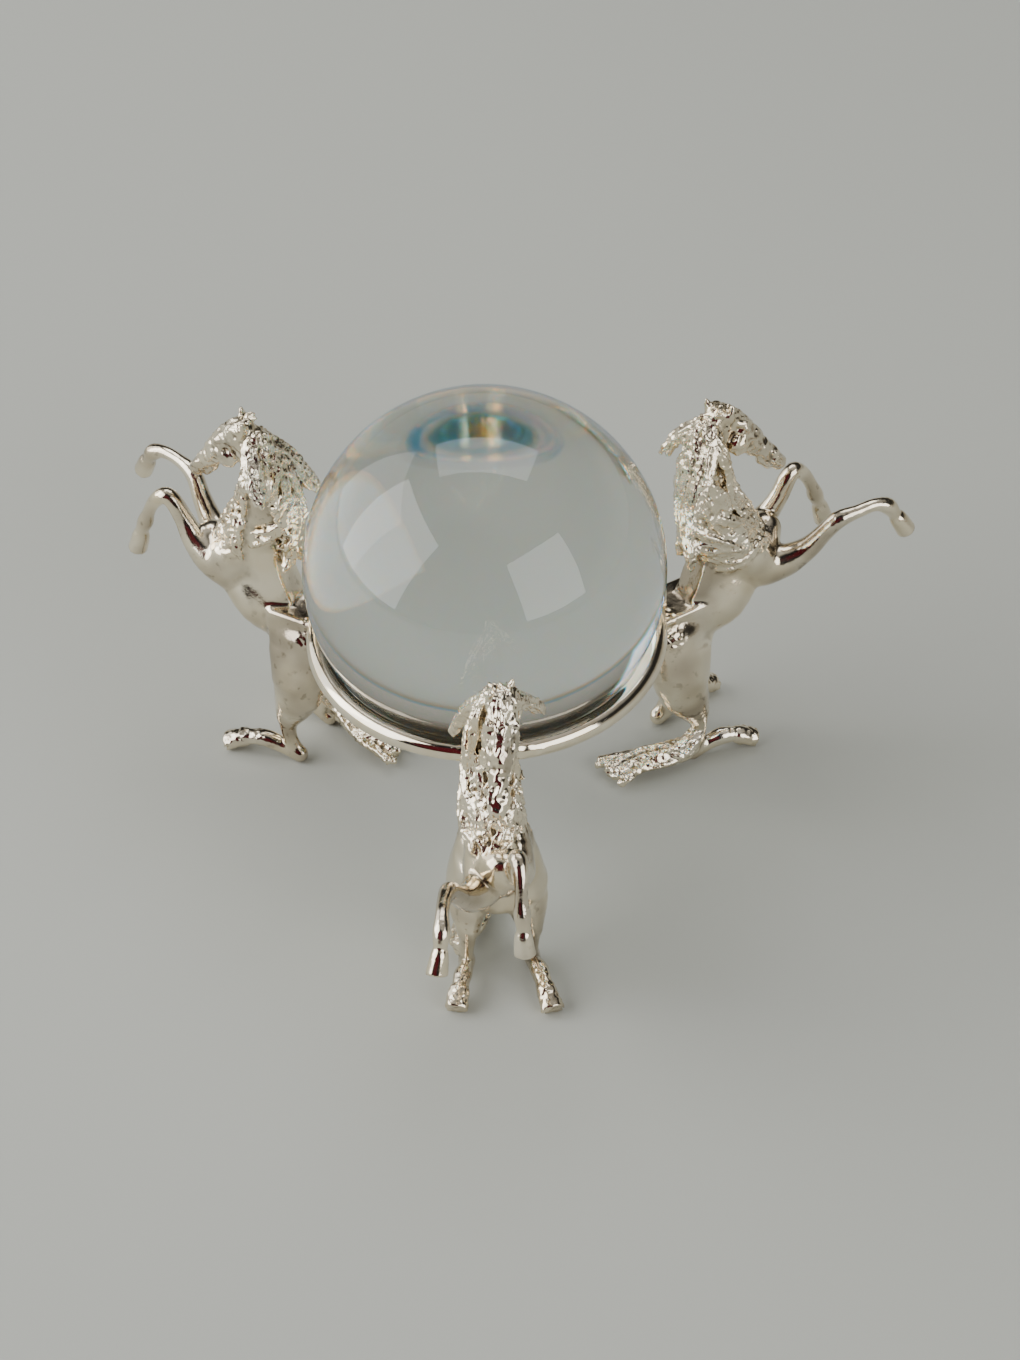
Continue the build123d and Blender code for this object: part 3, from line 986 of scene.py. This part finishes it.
def makeLight(name, settings):
    data = bpy.data.lights.new(name, "AREA")
    data.shape = "RECTANGLE"
    data.size, data.size_y = settings["size"]
    data.energy = settings["watts"]
    light = bpy.data.objects.new(name, data)
    bpy.context.scene.collection.objects.link(light)
    light.location = settings["place"]
    towards = Vector(studio["lightAim"]) - Vector(settings["place"])
    light.rotation_euler = towards.to_track_quat("-Z", "Y").to_euler()


def makeFloor():
    finish = newFinish("paperFloor")
    tone = finish.noise(finish.place(), 6, 2, 0.5)
    dark, light = (tuple(share * c for c in studio["floorColour"])
                   for share in (1 - studio["floorMottle"], 1 + studio["floorMottle"]))
    colour = finish.blend(tone, (*dark, 1), (*light, 1))
    material = finish.principled({"Base Color": colour, "Roughness": 0.9, "Specular IOR Level": 0.1})
    half = studio["floorSize"] / 2
    mesh = bpy.data.meshes.new("paperFloor")
    mesh.from_pydata([(-half, -half, 0), (half, -half, 0), (half, half, 0), (-half, half, 0)], [],
                     [(0, 1, 2, 3)])
    mesh.materials.append(material)
    floor = bpy.data.objects.new("paperFloor", mesh)
    bpy.context.scene.collection.objects.link(floor)


def makeWorld():
    # a dim room: grey above, dark towards the camera's side, with a dark red curtain there
    world = bpy.data.worlds.new("room")
    bpy.context.scene.world = world
    finish = Finish(world)
    direction = finish.node("ShaderNodeTexCoord", output=0)
    height = finish.node("ShaderNodeSeparateXYZ", {}, {0: direction}, output=2)
    walls = finish.node("ShaderNodeValToRGB", {"stops": studio["walls"]}, {"Fac": height})
    facing = finish.node("ShaderNodeVectorMath", {"operation": "DOT_PRODUCT"},
                         {0: direction, 1: studio["curtainFacing"]}, output=1)
    cameraSide = finish.blend(facing.spread(*studio["cameraSideSpread"]), walls, studio["cameraSideColour"])
    room = finish.blend(facing.spread(*studio["curtainSpread"]), cameraSide, studio["curtainColour"])
    finish.node("ShaderNodeOutputWorld", {},
                {"Surface": finish.node("ShaderNodeBackground", {}, {"Color": room, "Strength": 1.0})})


def makeCamera():
    right, up = Vector(studio["cameraRight"]), Vector(studio["cameraUp"])
    back = right.cross(up)
    data = bpy.data.cameras.new("camera")
    data.lens = studio["lens"]
    data.clip_start = 0.01
    camera = bpy.data.objects.new("camera", data)
    bpy.context.scene.collection.objects.link(camera)
    turn = Matrix((right, up, back)).transposed().to_4x4()
    camera.matrix_world = Matrix.Translation(studio["cameraPlace"]) @ turn
    bpy.context.scene.camera = camera


makeFloor()
makeWorld()
makeCamera()
for name, settings in studio["lights"].items():
    makeLight(name, settings)
print("studio")
